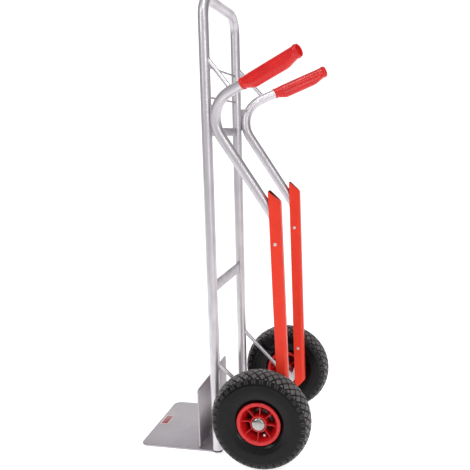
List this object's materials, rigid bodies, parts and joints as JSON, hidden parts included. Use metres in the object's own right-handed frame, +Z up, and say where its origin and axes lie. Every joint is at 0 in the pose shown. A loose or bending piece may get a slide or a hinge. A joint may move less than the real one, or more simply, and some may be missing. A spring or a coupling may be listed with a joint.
{
  "type": "hand truck",
  "caption": "Tall aluminium hand truck: looped tube frame, flared handles with red grips, red stair skids, flat toe plate and air-filled wheels on a fixed axle.",
  "frame": {"origin": "on the floor, on the centre plane, midway between the toe plate's front edge and the back of the tyres", "axes": "+Z up, +Y towards the user behind the truck, +X towards the user's left hand when the user faces the load"},
  "size_m": [0.5678, 0.49, 1.213],
  "materials": {
    "tube_metal": "satin extruded tube with lengthwise drawing marks",
    "plate_metal": "smooth rolled sheet, lightly scuffed",
    "bracket_metal": "sand-cast, slightly grainy",
    "bar_metal": "flattened tube, satin",
    "rod_steel": "drawn wire, bright",
    "axle_steel": "turned bar",
    "zinc_hardware": "bright zinc plate",
    "bearing_steel": "ground",
    "cap_steel": "pressed and bright plated",
    "grip_red": "moulded, softly glossy",
    "skid_red": "extruded, satin",
    "rim_red": "injection moulded",
    "plug_black": "moulded",
    "label_red": "printed film with no lettering",
    "tyre_black": "moulded rubber, dusty tread",
    "tube_rubber": "butyl"
  },
  "bodies": {
    "frame": {"back_frame": "tube_metal", "heel_bar": "bar_metal", "upper_crossbar": "bar_metal", "middle_crossbar": "bar_metal", "upper_cross_rod": "rod_steel", "lower_cross_rod": "rod_steel", "toe_plate": "plate_metal", "upright_plate": "plate_metal", "toe_label": "label_red", "axle": "axle_steel", "foot_plugs": "plug_black", "handle_plugs": "plug_black", "axle_pins": "zinc_hardware", "skid_screws": "zinc_hardware", "handle_tube_left": "tube_metal", "handle_gusset_left": "plate_metal", "grip_left": "grip_red", "upper_strut_left": "tube_metal", "axle_bracket_left": "bracket_metal", "lower_strut_left": "tube_metal", "skid_left": "skid_red", "axle_spacer_left": "axle_steel", "axle_washers_left": "zinc_hardware", "handle_tube_right": "tube_metal", "handle_gusset_right": "plate_metal", "grip_right": "grip_red", "upper_strut_right": "tube_metal", "axle_bracket_right": "bracket_metal", "lower_strut_right": "tube_metal", "skid_right": "skid_red", "axle_spacer_right": "axle_steel", "axle_washers_right": "zinc_hardware"},
    "wheel_left": {"tyre_left": "tyre_black", "inner_tube_left": "tube_rubber", "rim_outer_left": "rim_red", "rim_inner_left": "rim_red", "rim_bolts_left": "zinc_hardware", "valve_left": "zinc_hardware", "bearings_left": "bearing_steel", "hub_sleeve_left": "axle_steel", "hub_cap_left": "cap_steel"},
    "wheel_right": {"tyre_right": "tyre_black", "inner_tube_right": "tube_rubber", "rim_outer_right": "rim_red", "rim_inner_right": "rim_red", "rim_bolts_right": "zinc_hardware", "valve_right": "zinc_hardware", "bearings_right": "bearing_steel", "hub_sleeve_right": "axle_steel", "hub_cap_right": "cap_steel"}
  },
  "joints": [
    {"name": "wheel_left_spin", "type": "hinge", "parent": "frame", "child": "wheel_left", "pos_m": [0.2075, 0.115, 0.13], "axis": [1, 0, 0], "continuous": true},
    {"name": "wheel_right_spin", "type": "hinge", "parent": "frame", "child": "wheel_right", "pos_m": [-0.2075, 0.115, 0.13], "axis": [1, 0, 0], "continuous": true}
  ]
}
